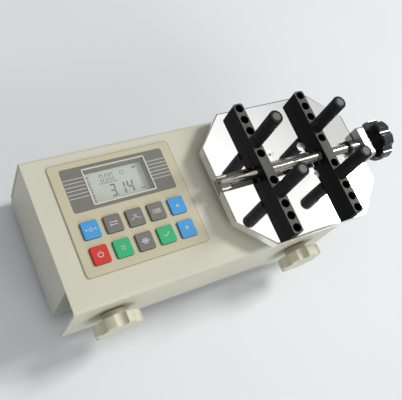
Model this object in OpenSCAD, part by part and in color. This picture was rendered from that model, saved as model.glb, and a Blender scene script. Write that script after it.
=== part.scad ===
// Torque tester for screw caps: a keypad and display housing of folded sheet, and a
// polished platform on a torque sensor, with two peg jaws closed by a two-hand screw.
// Millimetres. Z is up from the table, X runs along the housing, the front faces -Y.
// The origin is on the table, below the middle of the whole tester.

/* [Cover] */
// Length of the folded cover
housing_len = 231; // [225:1:260]
// Depth over the front and rear flanges
housing_d = 116; // [114:1:140]
// Height of the panel above the table
panel_h = 68; // [66:1:90]
// Drop of the front and rear flanges below the panel
flange_drop = 58.5; // [50:0.5:61]
// Thickness of the cover sheet
cover_t = 1.6; // [1.2:0.1:2]
// Outside radius of the cover bends
bend_r = 3; // [2.2:0.1:5]
// Radius of the bare corners of the cover flanges
flange_corner_r = 2; // [1:0.5:5]

/* [Chassis] */
// Thickness of the chassis sheet
chassis_t = 1.5; // [1:0.1:2]
// Space between the front of the cover and the chassis behind it
front_setback = 17.8; // [16.5:0.1:24]
// Height of the rubber feet
foot_h = 4; // [3:0.5:6]
// Diameter of the rubber feet
foot_dia = 15; // [12:0.5:20]
// Distance of the foot centres from the chassis edges
foot_inset = 13; // [11:0.5:20]
// Diameter of the recess in each foot
foot_recess_dia = 8; // [6:0.5:9]
// Depth of the recess in each foot
foot_recess = 1.8; // [1:0.1:2.4]
// Inset of the chassis end walls from the cover ends
side_inset = 0.4; // [0.2:0.1:1]
// Width of the inward lip that carries the cover
lip_w = 8; // [5:0.5:9]
// Gap between the rear wall and the rear flange
rear_fit = 0.2; // [0.1:0.05:0.5]
// Length of a vent slot in the chassis floor
vent_len = 26; // [16:1:32]
// Width of a vent slot
vent_w = 3; // [2:0.5:4]
// Pitch of the vent slots
vent_pitch = 7; // [6:0.5:9]

/* [Panel] */
// Length of the keypad overlay
overlay_len = 97; // [96:1:110]
// From the front of the cover to the overlay
overlay_front = 20.1; // [18:0.1:21]
// From the overlay to the rear of the cover
overlay_rear = 8.9; // [6:0.1:10]
// Thickness of the overlay
overlay_t = 0.8; // [0.5:0.1:1.2]
// Corner radius of the overlay
overlay_r = 3; // [1:0.5:6]
// From the left end of the cover to the middle of the key grid
grid_from_left = 64.8; // [62:0.2:70]
// From the front of the cover to the middle of the key grid
grid_from_front = 43.7; // [42:0.1:50]
// Length of the grey display field
field_len = 81.5; // [80:0.5:88]
// From the rear keys to the display field
field_gap = 7.6; // [6:0.1:8]
// From the display field to the rear edge of the overlay
field_edge = 4.75; // [4:0.05:6]
// Corner radius of the display field
field_r = 2; // [1:0.1:3]
// Length of the display window
window_len = 48; // [44:0.5:52]
// From the front and rear edges of the display field to the display window
window_edge = 3.75; // [3.5:0.05:5]
// Width of the rim round the display window
bezel_w = 1; // [0.8:0.1:1.6]
// Height of the rim above the overlay
bezel_proud = 0.35; // [0.2:0.05:0.8]
// Thickness of the clear window
lens_t = 0.6; // [0.4:0.1:1]
// Depth of the display face below the panel
display_sink = 4.5; // [3.5:0.1:5]

/* [Keys] */
// Width of a key
key_w = 12.7; // [11:0.1:13.4]
// Depth of a key
key_d = 13.4; // [12:0.1:14.4]
// Key pitch along the housing
key_pitch_x = 17.1; // [16.4:0.1:18]
// Key pitch from front to rear
key_pitch_y = 19.3; // [18:0.1:19.6]
// Columns of keys
key_columns = 5; // [5:1:5]
// Corner radius of a key
key_r = 1.5; // [0.8:0.1:3]
// Height of a key above the overlay
key_proud = 1.5; // [1.2:0.1:2.4]
// Travel of a key
key_travel = 0.8; // [0.4:0.1:1]
// Chamfer round the top of a key
key_chamfer = 0.5; // [0.2:0.1:0.8]
// Clearance round a key in the cover and the overlay
key_clear = 0.2; // [0.15:0.05:0.4]
// Width of the skirt that holds a key under the cover
skirt_w = 0.8; // [0.5:0.1:0.9]
// Thickness of the skirt
skirt_t = 1.2; // [0.8:0.1:1.6]
// Diameter of the stem under a key
stem_dia = 4; // [3:0.5:5]
// Length of the stem under the skirt
stem_len = 1; // [0.6:0.1:2]

/* [Electronics] */
// Thickness of every circuit board
board_t = 1.6; // [1:0.1:2]
// Side of a switch under a key
switch_w = 6; // [5:0.5:7]
// Height of a switch without its plunger
switch_h = 3.6; // [3:0.1:5]
// Diameter of the plunger of a switch
plunger_dia = 3.4; // [3:0.1:4]
// Height of the plunger of a switch
plunger_h = 1.4; // [1:0.1:2]
// Length of the keypad board
keypad_len = 98; // [97:1:102]
// Depth of the keypad board
keypad_d = 38; // [36:0.5:39]
// Length of the metal frame of the display
display_len = 57; // [54:0.5:60]
// Width of the metal frame of the display in front of the window and behind it
display_edge = 4.4; // [3.5:0.1:4.8]
// Thickness of the metal frame of the display
display_t = 4; // [3:0.5:4.5]
// Rim of the display board round its metal frame
display_rim = 3; // [2.5:0.1:3.2]
// Length of the main board
main_len = 88; // [80:1:92]
// Depth of the main board
main_d = 72; // [66:1:78]
// Height of the main board above the chassis floor
main_lift = 6; // [5:0.5:10]
// Diameter of the board standoffs
standoff_dia = 5; // [4.6:0.2:5.4]
// Inset of the board screws from the board edges
board_inset = 4; // [3.5:0.1:4.4]
// Diameter of a battery cell
cell_dia = 14.5; // [14:0.1:15]
// From the battery to the main board and to the sensor base
battery_gap = 8.8; // [7:0.1:10]
// Cells side by side
cells_wide = 3; // [2:1:3]
// Thickness of the strap over the battery
strap_t = 1; // [0.8:0.1:1.5]
// Width of the strap over the battery
strap_w = 16; // [12:1:20]
// Length of the screwed ears of the strap
strap_ear = 9; // [8.4:0.2:10]

/* [Platform] */
// Length of the polished platform
plate_len = 141; // [138:1:150]
// Depth of the platform
plate_d = 116; // [114:1:130]
// Thickness of the platform
plate_t = 8; // [7.5:0.1:10]
// Height of the platform face above the panel
plate_rise = 14; // [13:0.5:20]
// Corner cut of the platform along its length
corner_x = 25.3; // [15:0.1:30]
// Corner cut of the platform along its depth
corner_y = 26.4; // [15:0.1:32]
// Break of the sharp edges of the platform
edge_break = 0.5; // [0.3:0.1:1]
// From the right end of the cover to the torque axis
axis_inset = 28.6; // [28.4:0.1:34]
// From the middle of the cover depth to the torque axis, negative to the front
platform_shift = -2; // [-4:0.5:0]
// Width of the slot for the clamp screw
slot_w = 14; // [13:0.1:15]
// Length of the closed bridge at each end of the slot
bridge_len = 11.5; // [10.5:0.5:13]
// Thickness of the bridge below the slot
bridge_t = 2; // [1.6:0.1:2.4]

/* [Sensor and hub] */
// Diameter of the flange below the platform
hub_flange_dia = 50; // [48:1:54]
// Gap between the hub flange and the panel
hub_gap = 1.6; // [1.5:0.1:2.5]
// Diameter of the boss that passes through the cover
hub_dia = 26; // [24:0.5:28]
// Wall of the rubber dust seal round the boss
seal_wall = 2; // [1.6:0.1:2.4]
// Clearance between the boss and the seal
seal_clear = 0.3; // [0.2:0.05:0.5]
// Thickness of the lip of the seal above the panel
seal_lip_t = 0.9; // [0.6:0.1:1.2]
// Width of the lip of the seal
seal_lip_w = 3; // [2:0.5:4]
// Length of the hub boss below the cover
hub_drop = 6; // [4:0.5:8]
// Side of the square sensor base
base_w = 52; // [50:1:54]
// Thickness of the sensor base
base_t = 6; // [4:0.5:8]
// Diameter of the lower flange of the sensor
sensor_dia = 46; // [44:1:50]
// Thickness of the sensor flanges
sensor_flange_t = 6; // [5:0.5:8]
// Diameter of the upper flange of the sensor
sensor_top_dia = 34; // [32:1:36]
// Diameter of the gauge section of the sensor
gauge_dia = 18; // [14:0.5:20]
// Fillet at the ends of the gauge section
gauge_fillet = 4; // [2:0.5:5]
// Bore through the gauge section
gauge_bore = 9; // [8.5:0.5:10]
// Width of the flats on the gauge section
gauge_flat = 14; // [12:0.5:14]
// Diameter of the centre bolt of the hub
hub_bolt_dia = 8; // [6:0.5:8]
// Diameter of the head of the centre bolt
hub_head_dia = 13; // [11:0.5:14]
// Height of the head of the centre bolt
hub_head_h = 5; // [4:0.5:6]
// Distance of the platform screws from the torque axis along the length
plate_screw_x = 16; // [14:0.5:18]
// Distance of the platform screws from the torque axis along the depth
plate_screw_y = 13; // [12.5:0.5:15]
// Diameter of the platform screws
plate_screw_dia = 4; // [3:0.5:5]
// Diameter of the countersunk heads of the platform screws
plate_head_dia = 8; // [7:0.5:9]
// Diameter of the sensor screws
sensor_screw_dia = 4; // [3:0.5:4.5]
// Circle of the sensor screws
sensor_pcd = 36; // [35:0.5:38]

/* [Clamp screw] */
// Diameter of the clamp screw
screw_dia = 8; // [7:0.1:8.4]
// Height of the screw axis above the platform face
screw_rise = 2.8; // [2.4:0.1:3.2]
// Running clearance of a shaft in its bore, on the radius
run_clear = 0.05; // [0.02:0.01:0.08]
// Reach of the screw end past the left edge of the platform
screw_out = 0.7; // [0.3:0.1:2]
// Diameter of the centre hole in the screw end
centre_hole_dia = 2.4; // [1.5:0.1:3]
// Depth of the centre hole
centre_hole_len = 3; // [2:0.5:5]
// Length of the bearing saddle under each end of the screw
saddle_len = 8; // [6:0.5:9]
// Width of the bearing saddles
saddle_w = 11; // [10:0.5:12]
// From the screw axis down to the top of the saddles
saddle_drop = 1.5; // [1:0.1:2]
// Thickness of the bearing bracket on the right edge
bracket_t = 7; // [5:0.5:8]
// Width of the bearing bracket
bracket_w = 27; // [26:0.5:34]
// Height of the bearing bracket above the screw axis
bracket_over = 7; // [6:0.5:9]
// Diameter of the bracket screws
bracket_screw_dia = 3; // [2.5:0.5:4]
// Distance of the bracket screws from the screw axis
bracket_screw_y = 10; // [9.5:0.1:11]
// Diameter of the thrust collars
collar_dia = 12.4; // [11:0.1:12.8]
// Thickness of the thrust collars
collar_t = 2.2; // [1.8:0.1:2.4]
// Play between a collar and what it bears on
thrust_play = 0.1; // [0.05:0.05:0.3]
// Gap from the platform to the inner face of the clamp knob
knob_gap = 14; // [13:0.5:20]
// Diameter of the clamp knob
clamp_knob_dia = 35; // [33:1:40]
// Thickness of the clamp knob rim
clamp_knob_t = 11; // [9:0.5:14]
// Diameter of the boss of the clamp knob
clamp_boss_dia = 15; // [13:0.5:18]
// Lobes of the clamp knob
clamp_lobes = 7; // [5:1:9]
// Diameter of the flutes between the lobes
clamp_flute_dia = 9; // [7:0.5:10]
// Reach of the flutes into the rim
clamp_flute_in = 2.8; // [1.5:0.1:3]

/* [Jaws] */
// Width of a jaw
jaw_w = 9; // [8.6:0.1:11]
// Height of a jaw
jaw_h = 11.2; // [10:0.1:13]
// Length of a jaw
jaw_len = 115; // [115:1:116]
// Corner radius of a jaw seen from above
jaw_r = 2.2; // [0.5:0.1:3]
// Gap between a jaw and the platform face
jaw_gap = 0.1; // [0.05:0.05:0.3]
// From the torque axis to the middle of each jaw at rest
jaw_offset = 30.7; // [26:0.1:34]
// From the middle of a jaw to its first peg hole
hole_first = 11.8; // [11:0.1:12]
// Pitch of the peg holes
hole_pitch = 10.3; // [9.8:0.1:10.4]
// Peg holes from the middle of a jaw to its end
hole_count = 5; // [3:1:5]
// Diameter of a peg
peg_dia = 7; // [6:0.1:7.2]
// Hole position that holds a peg, counted from the middle
peg_position = 2; // [1:1:4]
// Height of a peg above its jaw
peg_h = 39; // [30:1:50]
// Length of a peg in its jaw
peg_in = 10.5; // [8:0.1:10.8]
// Chamfer at both ends of a peg
peg_chamfer = 0.5; // [0.3:0.1:0.8]
// Outside diameter of the rubber sleeve on a peg
sleeve_dia = 11; // [10:0.1:11.6]
// Rounding of the top of a sleeve
sleeve_round = 0.8; // [0.4:0.1:1.2]
// Length of the nut block below a jaw
lug_len = 12; // [10:0.5:13]
// Side clearance of the nut block in the slot
lug_clear = 0.25; // [0.15:0.05:0.4]
// Gap between the nut block and the hub flange
lug_gap = 0.7; // [0.4:0.1:1]

/* [Hand screws] */
// Distance of the hand screws from the ends of the cover
hand_inset = 33.5; // [30:0.5:40]
// Depth of the hand screws below the panel
hand_drop = 29; // [26:0.5:32]
// Largest diameter of a hand knob
hand_dia = 36.5; // [33:0.5:40]
// Thickness of a hand knob
hand_t = 9; // [7:0.5:12]
// Diameter of the boss behind a hand knob
hand_boss_dia = 18; // [14:0.5:20]
// Length of the boss behind a hand knob
hand_boss = 5; // [3:0.5:6]
// Gap between the boss and the front flange
hand_gap = 0.6; // [0.5:0.1:1]
// Lobes of a hand knob
hand_lobes = 7; // [5:1:9]
// Diameter of the scallops between the lobes
scallop_dia = 10.5; // [8:0.5:12]
// Reach of the scallops into a hand knob
scallop_in = 3.2; // [1.5:0.1:3.5]
// Rounding of the rim of a hand knob
hand_round = 1.4; // [1.3:0.1:2]
// Turn of the left hand knob at rest
left_hand_turn = 17; // [0:1:51]
// Turn of the right hand knob at rest
right_hand_turn = 32; // [0:1:51]
// Diameter of the threaded stud
stud_dia = 8; // [7:0.5:8.5]
// Width over the flats of the welded nut
nut_af = 13; // [12.5:0.5:15]
// Thickness of the welded nut
nut_t = 5; // [4:0.5:6]
// Diameter of the pressure pad
pad_dia = 14; // [12:0.5:18]
// Thickness of the pressure pad
pad_t = 3; // [2.5:0.1:4]
// Gap between the pressure pad and the chassis at rest
pad_gap = 1; // [0.6:0.1:2]
// Depth of the socket of the pressure pad
pad_socket = 1.8; // [1.2:0.1:2]

/* [Rear sockets] */
// Distance of the charging socket from the left end
jack_from_left = 30; // [25:1:40]
// Distance of the data socket from the left end
port_from_left = 72; // [68:1:90]
// Depth of both sockets below the panel
socket_drop = 34; // [30:1:38]
// Outside diameter of the charging socket
jack_dia = 11; // [10:0.5:13]
// Bore of the charging socket
jack_bore = 6.2; // [5.8:0.1:7]
// Diameter of the pin in the charging socket
jack_pin_dia = 2; // [1.6:0.1:2.2]
// Depth of the bore of the charging socket
jack_bore_len = 9; // [8:0.5:10]
// Diameter of the nut of the charging socket
jack_nut_dia = 14; // [13.5:0.5:16]
// Length of the shell of the data socket
port_len = 17; // [16:0.5:19]
// Height of the shell of the data socket
port_height = 8.4; // [8:0.1:10]
// Reach of the shell behind the cover
port_proud = 5; // [4.5:0.1:6]
// Length of the flange of the data socket
port_flange_len = 31; // [30:0.5:34]
// Height of the flange of the data socket
port_flange_h = 12.5; // [12:0.5:14]
// Thickness of the flange of the data socket
port_flange_t = 1.2; // [0.8:0.1:1.5]
// Length of the body of the data socket behind its flange
port_body_len = 11; // [9:0.5:13]
// Distance between the screws of the data socket
port_screw_pitch = 25; // [24:0.5:26]

/* [Fasteners] */
// Diameter of the small screws
small_screw_dia = 3; // [2.5:0.1:3]
// Diameter of the heads of the small screws
small_head_dia = 5.6; // [5:0.1:6]
// Height of the heads of the small screws
small_head_h = 2; // [1.5:0.1:2.4]
// Width of the cross slot in a screw head
cross_w = 0.9; // [0.6:0.1:1.1]
// Length of the cross slot in a screw head
cross_len = 3.4; // [2.5:0.1:4]
// Depth of the cross slot in a screw head
cross_depth = 1; // [0.6:0.1:1.2]
// Depth of the rear cover screws below the panel
rear_screw_drop = 14; // [12:0.5:20]
// Distance of the outer rear screws from the ends of the cover
rear_screw_inset = 12; // [10:0.5:20]

/* [Hidden] */
$fn = 48;
// Overrun of every cut past the face that it opens
over = 1;

// Places along the length
overall_len = housing_len - axis_inset + plate_len / 2 + knob_gap + clamp_knob_t;
x_left = -overall_len / 2;
x_right = x_left + housing_len;
x_axis = x_right - axis_inset;
grid_x = x_left + grid_from_left;

// Places along the depth
hand_reach = hand_gap + hand_boss + hand_t;
overall_d = hand_reach + housing_d + port_proud;
y_front = -overall_d / 2 + hand_reach;
y_rear = y_front + housing_d;
y_axis = (y_front + y_rear) / 2 + platform_shift;
grid_y = y_front + grid_from_front;
overlay_low_y = y_front + overlay_front;
overlay_high_y = y_rear - overlay_rear;
overlay_d = overlay_high_y - overlay_low_y;
field_low_y = grid_y + (key_pitch_y + key_d) / 2 + field_gap;
field_high_y = overlay_high_y - field_edge;
field_d = field_high_y - field_low_y;
window_d = field_d - 2 * window_edge;
window_y = (field_low_y + field_high_y) / 2;
display_d = window_d + 2 * display_edge;
wall_front = y_front + front_setback;
wall_rear = y_rear - cover_t - rear_fit;

// Heights
floor_z = foot_h + chassis_t;
sheet_z = panel_h - cover_t;
overlay_z = panel_h + overlay_t;
plate_z = panel_h + plate_rise;
plate_low = plate_z - plate_t;
screw_z = plate_z + screw_rise;
jaw_z = plate_z + jaw_gap;
jaw_top = jaw_z + jaw_h;
hand_z = panel_h - hand_drop;
socket_z = panel_h - socket_drop;
sensor_z = floor_z + base_t;
sensor_top = sheet_z - hub_drop;
hub_low = panel_h + hub_gap;

// Keys
skirt_gap = key_clear / 2;
skirt_z = sheet_z - skirt_gap - skirt_t;
plunger_z = skirt_z - stem_len - key_travel - skirt_gap;
keypad_z = plunger_z - plunger_h - switch_h;
display_z = panel_h - display_sink;
display_low = display_z - display_t;

// Clamp screw and jaws
slot_len = plate_len - 2 * bridge_len;
lug_w = slot_w - 2 * lug_clear;
lug_low = plate_low + lug_gap;
screw_start = x_axis - plate_len / 2 - screw_out;
bracket_x = x_axis + plate_len / 2;
knob_x = bracket_x + knob_gap;
screw_end = knob_x + clamp_knob_t / 2;
peg_r = peg_dia / 2;
thread_r = screw_dia / 2;

// Hand screws
stud_r = stud_dia / 2;
inner_flange = y_front + cover_t;
pad_y = wall_front - pad_gap - pad_t;
hand_y = y_front - hand_gap - hand_boss;

// A rectangle with round corners, about the origin
module rounded(w, d, r) {
    square([w - 2 * r, d], center = true);
    square([w, d - 2 * r], center = true);
    for (sx = [-1, 1], sy = [-1, 1])
        translate([sx * (w / 2 - r), sy * (d / 2 - r)]) circle(r);
}

// A rounded slab from height z, about x and y
module slab(x, y, z, w, d, h, r) {
    translate([x, y, z]) linear_extrude(h) rounded(w, d, r);
}

// A plain block from height z, about x and y
module block(x, y, z, w, d, h) {
    translate([x - w / 2, y - d / 2, z]) cube([w, d, h]);
}

// Something drawn in Y and Z, extruded along X from x over length h
module along_x(x, h) {
    translate([x, 0, 0]) rotate([90, 0, 90]) linear_extrude(h) children();
}

// A cylinder along X that starts at x
module rod_x(x, y, z, r, h) {
    translate([x, y, z]) rotate([0, 90, 0]) cylinder(r = r, h = h);
}

// A cylinder along Y that starts at y
module rod_y(x, y, z, r, h) {
    translate([x, y, z]) rotate([-90, 0, 0]) cylinder(r = r, h = h);
}

// A pan head screw with its head up and the underside of the head at the origin
module pan_screw(dia, head_dia, head_h, len) {
    difference() {
        union() {
            cylinder(d = head_dia, h = head_h / 2);
            translate([0, 0, head_h / 2])
                cylinder(d1 = head_dia, d2 = head_dia * 2 / 3, h = head_h / 2);
            translate([0, 0, -len]) cylinder(d = dia, h = len);
        }
        for (a = [0, 90])
            rotate([0, 0, a]) block(0, 0, head_h - cross_depth, cross_len, cross_w, cross_depth + over);
    }
}

module small_screw(len) {
    pan_screw(small_screw_dia, small_head_dia, small_head_h, len);
}

// The middle of a key, by its column and its row, where row 0 is the rear one
function key_at(column, row) = [
    grid_x + (column - (key_columns - 1) / 2) * key_pitch_x,
    grid_y + (1 / 2 - row) * key_pitch_y];

module at_keys() {
    for (column = [0 : key_columns - 1], row = [0, 1])
        translate(key_at(column, row)) children();
}

module at_corners(w, d) {
    for (sx = [-1, 1], sy = [-1, 1])
        translate([sx * w / 2, sy * d / 2]) children();
}

module at_hand_screws() {
    for (x = [x_left + hand_inset, x_right - hand_inset])
        translate([x, 0, 0]) children();
}

module at_rear_screws() {
    for (x = [x_left + rear_screw_inset, (x_left + x_right) / 2, x_right - rear_screw_inset])
        translate([x, 0, panel_h - rear_screw_drop]) children();
}

module cover_bend(y, side) {
    translate([y, panel_h - bend_r]) intersection() {
        difference() {
            circle(bend_r);
            circle(bend_r - cover_t);
        }
        translate([side < 0 ? -bend_r : 0, 0]) square(bend_r);
    }
}

module cover_profile() {
    translate([y_front + bend_r, sheet_z]) square([housing_d - 2 * bend_r, cover_t]);
    for (y = [y_front, y_rear - cover_t])
        translate([y, panel_h - flange_drop]) square([cover_t, flange_drop - bend_r]);
    cover_bend(y_front + bend_r, -1);
    cover_bend(y_rear - bend_r, 1);
}

// Cuts a round corner on the flanges of the cover
module flange_corner(x, side) {
    translate([x, 0, panel_h - flange_drop]) rotate([90, 0, 0])
        translate([0, 0, -y_rear - over]) linear_extrude(housing_d + 2 * over) difference() {
            translate([side < 0 ? -over : -flange_corner_r, -over])
                square(flange_corner_r + over);
            translate([-side * flange_corner_r, flange_corner_r]) circle(flange_corner_r);
        }
}

module socket_holes(y, len) {
    rod_y(x_left + jack_from_left, y, socket_z, jack_dia / 2 + rear_fit, len);
    translate([x_left + port_from_left, y, socket_z]) rotate([-90, 0, 0]) linear_extrude(len)
        rounded(port_len + 2 * rear_fit, port_height + 2 * rear_fit, port_height / 6);
    for (s = [-1, 1])
        rod_y(x_left + port_from_left + s * port_screw_pitch / 2, y, socket_z, small_screw_dia / 2, len);
}

// The cover: a sheet folded down at the front and the rear, open at both ends
module top_cover() {
    color([0.85, 0.84, 0.77]) difference() {
        along_x(x_left, housing_len) cover_profile();
        flange_corner(x_left, -1);
        flange_corner(x_right, 1);
        slab(grid_x, window_y, sheet_z - over, window_len + 2 * bezel_w, window_d + 2 * bezel_w,
            cover_t + 2 * over, bezel_w);
        translate([0, 0, sheet_z - over]) at_keys() linear_extrude(cover_t + 2 * over)
            rounded(key_w + 2 * key_clear, key_d + 2 * key_clear, key_r + key_clear);
        translate([x_axis, y_axis, sheet_z - over])
            cylinder(r = hub_dia / 2 + seal_clear + seal_wall, h = cover_t + 2 * over);
        at_hand_screws() rod_y(0, y_front - over, hand_z, stud_r + 2 * seal_clear, cover_t + 2 * over);
        at_rear_screws() rod_y(0, y_rear - cover_t - over, 0, small_screw_dia / 2, cover_t + 2 * over);
        socket_holes(y_rear - cover_t - over, cover_t + 2 * over);
    }
}

chassis_len = housing_len - 2 * side_inset;
chassis_d = wall_rear - wall_front;
chassis_x = (x_left + x_right) / 2;
chassis_y = (wall_front + wall_rear) / 2;
feet_len = chassis_len - 2 * foot_inset;
feet_d = chassis_d - 2 * foot_inset;

// What the bend of the cover takes from the rear edge of the chassis
module bend_relief() {
    translate([y_rear - bend_r, panel_h - bend_r]) difference() {
        square(bend_r);
        circle(bend_r - cover_t - rear_fit);
    }
}

// The chassis: a pan with four walls and an inward lip, which carries the cover and the sensor
module base_chassis() {
    color([0.76, 0.76, 0.67]) difference() {
        block(chassis_x, chassis_y, foot_h, chassis_len, chassis_d, sheet_z - foot_h);
        block(chassis_x, chassis_y, floor_z, chassis_len - 2 * chassis_t, chassis_d - 2 * chassis_t,
            sheet_z - floor_z - chassis_t);
        block(chassis_x, chassis_y, sheet_z - 2 * chassis_t, chassis_len - 2 * lip_w,
            chassis_d - 2 * lip_w, 2 * chassis_t + over);
        along_x(x_left - over, housing_len + 2 * over) bend_relief();
        at_rear_screws()
            rod_y(0, wall_rear - chassis_t - over, 0, small_screw_dia / 2, chassis_t + 2 * over);
        socket_holes(wall_rear - chassis_t - over, chassis_t + 2 * over);
        translate([chassis_x, chassis_y, foot_h - over]) at_corners(feet_len, feet_d)
            cylinder(d = small_screw_dia, h = chassis_t + 2 * over);
        for (i = [-2 : 2])
            slab(x_axis - base_w / 2 - vent_pitch * (3 - i), chassis_y, foot_h - over, vent_w, vent_len,
                chassis_t + 2 * over, vent_w / 3);
    }
}

module rubber_feet() {
    color([0.13, 0.13, 0.13]) translate([chassis_x, chassis_y, 0]) at_corners(feet_len, feet_d)
        difference() {
            union() {
                cylinder(d1 = foot_dia - foot_h / 2, d2 = foot_dia, h = foot_h / 4);
                translate([0, 0, foot_h / 4]) cylinder(d = foot_dia, h = foot_h * 3 / 4);
                cylinder(d = small_screw_dia, h = foot_h + chassis_t);
            }
            translate([0, 0, -over]) cylinder(d = foot_recess_dia, h = foot_recess + over);
        }
}

module cover_screws() {
    color([0.72, 0.72, 0.74]) at_rear_screws()
        translate([0, y_rear, 0]) rotate([-90, 0, 0]) small_screw(cover_t + rear_fit + 2 * chassis_t);
}

module keypad_overlay() {
    color([0.73, 0.7, 0.59]) difference() {
        slab(grid_x, (overlay_low_y + overlay_high_y) / 2, panel_h, overlay_len, overlay_d, overlay_t,
            overlay_r);
        slab(grid_x, window_y, panel_h - over, field_len, field_d, overlay_t + 2 * over, field_r);
        translate([0, 0, panel_h - over]) at_keys() linear_extrude(overlay_t + 2 * over)
            rounded(key_w + 2 * key_clear, key_d + 2 * key_clear, key_r + key_clear);
    }
}

module display_fascia() {
    color([0.5, 0.5, 0.48]) difference() {
        slab(grid_x, window_y, panel_h, field_len, field_d, overlay_t, field_r);
        slab(grid_x, window_y, panel_h - over, window_len + 2 * bezel_w, window_d + 2 * bezel_w,
            overlay_t + 2 * over, bezel_w);
    }
}

module display_bezel() {
    color([0.88, 0.88, 0.82]) difference() {
        slab(grid_x, window_y, sheet_z, window_len + 2 * bezel_w, window_d + 2 * bezel_w,
            cover_t + overlay_t + bezel_proud, bezel_w);
        block(grid_x, window_y, sheet_z - over, window_len, window_d,
            cover_t + overlay_t + bezel_proud + 2 * over);
    }
}

module display_lens() {
    color([0.85, 0.9, 0.88, 0.4]) block(grid_x, window_y, overlay_z - lens_t, window_len, window_d, lens_t);
}

// The display: a glass cell in a metal frame, on its own board
module display_module() {
    color([0.3, 0.31, 0.3]) difference() {
        union() {
            block(grid_x, window_y, display_low, display_len, display_d, sheet_z - display_low - rear_fit);
            block(grid_x, window_y, display_low - board_t, display_len + 2 * display_rim,
                display_d + 2 * display_rim, board_t);
        }
        block(grid_x, window_y, display_z, window_len, window_d, panel_h - display_z);
        translate([grid_x, window_y, display_low - board_t - over])
            at_corners(display_screw_len, display_screw_d)
                cylinder(d = small_screw_dia / 2, h = board_t + 2 * over);
    }
}

// The switch board below the keys
module keypad_board() {
    color([0.16, 0.42, 0.24]) {
        difference() {
            block(grid_x, grid_y, keypad_z - board_t, keypad_len, keypad_d, board_t);
            translate([grid_x, grid_y, keypad_z - board_t - over])
                at_corners(keypad_screw_len, keypad_screw_d)
                    cylinder(d = small_screw_dia, h = board_t + 2 * over);
        }
        translate([0, 0, keypad_z]) at_keys() {
            block(0, 0, 0, switch_w, switch_w, switch_h);
            translate([0, 0, switch_h]) cylinder(d = plunger_dia, h = plunger_h);
        }
    }
}

keypad_screw_len = keypad_len - 2 * board_inset;
keypad_screw_d = keypad_d - 2 * board_inset;
display_screw_len = display_len + display_rim;
display_screw_d = display_d + display_rim;

// Places of the panel screws: four on the keypad board and four on the display board
module at_panel_screws() {
    translate([grid_x, grid_y, keypad_z]) at_corners(keypad_screw_len, keypad_screw_d)
        children(0);
    translate([grid_x, window_y, display_low]) at_corners(display_screw_len, display_screw_d)
        children(1);
}

// A key: a cap with a chamfered top, a skirt that holds it under the cover, and a stem
module key(column, row, tint) {
    top = overlay_z + key_proud;
    color(tint) translate(key_at(column, row)) {
        translate([0, 0, skirt_z]) linear_extrude(top - key_chamfer - skirt_z) rounded(key_w, key_d, key_r);
        hull() {
            translate([0, 0, top - key_chamfer]) linear_extrude(key_chamfer / 4)
                rounded(key_w, key_d, key_r, $fn = 32);
            translate([0, 0, top - key_chamfer / 4]) linear_extrude(key_chamfer / 4)
                rounded(key_w - 2 * key_chamfer, key_d - 2 * key_chamfer, key_r, $fn = 32);
        }
        translate([0, 0, skirt_z]) linear_extrude(skirt_t)
            rounded(key_w + 2 * skirt_w, key_d + 2 * skirt_w, key_r);
        translate([0, 0, skirt_z - stem_len]) cylinder(d = stem_dia, h = stem_len);
    }
}

blue = [0.25, 0.55, 0.82];
grey = [0.47, 0.46, 0.44];
green = [0.16, 0.6, 0.36];
red = [0.82, 0.22, 0.2];

module zero_key() { key(0, 0, blue); }
module unit_key() { key(1, 0, grey); }
module peak_key() { key(2, 0, grey); }
module memory_key() { key(3, 0, grey); }
module up_key() { key(4, 0, blue); }
module power_key() { key(0, 1, red); }
module clear_key() { key(1, 1, green); }
module print_key() { key(2, 1, grey); }
module set_key() { key(3, 1, green); }
module down_key() { key(4, 1, blue); }

main_z = floor_z + main_lift;
main_screw_len = main_len - 2 * board_inset;
main_screw_d = main_d - 2 * board_inset;

// Parts of the main board: place and size as shares of the board, height as a share of its lift
main_part_shares = [
    [-0.26, -0.12, 0.3, 0.26, 0.5], [0.1, 0.2, 0.22, 0.2, 0.4], [0.3, -0.24, 0.16, 0.2, 1.6],
    [-0.3, 0.3, 0.2, 0.14, 1.2], [0.3, 0.12, 0.08, 0.3, 1], [0.02, -0.3, 0.12, 0.16, 0.7]];

module main_board() {
    color([0.14, 0.38, 0.22]) translate([grid_x, chassis_y, main_z]) {
        difference() {
            block(0, 0, 0, main_len, main_d, board_t);
            translate([0, 0, -over]) at_corners(main_screw_len, main_screw_d)
                cylinder(d = small_screw_dia, h = board_t + 2 * over);
        }
        for (part = main_part_shares)
            block(part[0] * main_len, part[1] * main_d, board_t, part[2] * main_len,
                part[3] * main_d, part[4] * main_lift);
    }
}

// Standoffs: four on the chassis floor, and eight that hang from the cover
module board_standoffs() {
    color([0.75, 0.75, 0.76]) {
        translate([grid_x, chassis_y, floor_z])
            at_corners(main_screw_len, main_screw_d) cylinder(d = standoff_dia, h = main_lift);
        at_panel_screws() {
            cylinder(d = standoff_dia, h = sheet_z - keypad_z);
            cylinder(d = standoff_dia / 2, h = sheet_z - display_low);
        }
    }
}

// Screws of the boards, from above on the chassis floor and from below at the panel
module board_screws() {
    color([0.72, 0.72, 0.74]) {
        translate([grid_x, chassis_y, main_z + board_t])
            at_corners(main_screw_len, main_screw_d) small_screw(board_t);
        at_panel_screws() {
            translate([0, 0, -board_t]) rotate([180, 0, 0]) small_screw(board_t);
            translate([0, 0, -board_t]) rotate([180, 0, 0])
                pan_screw(small_screw_dia / 2, small_head_dia / 2, small_head_h / 2, board_t);
        }
        for (s = [-1, 1])
            translate([battery_x, chassis_y + s * strap_screw_y, floor_z + strap_t]) small_screw(strap_t);
    }
}

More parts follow.
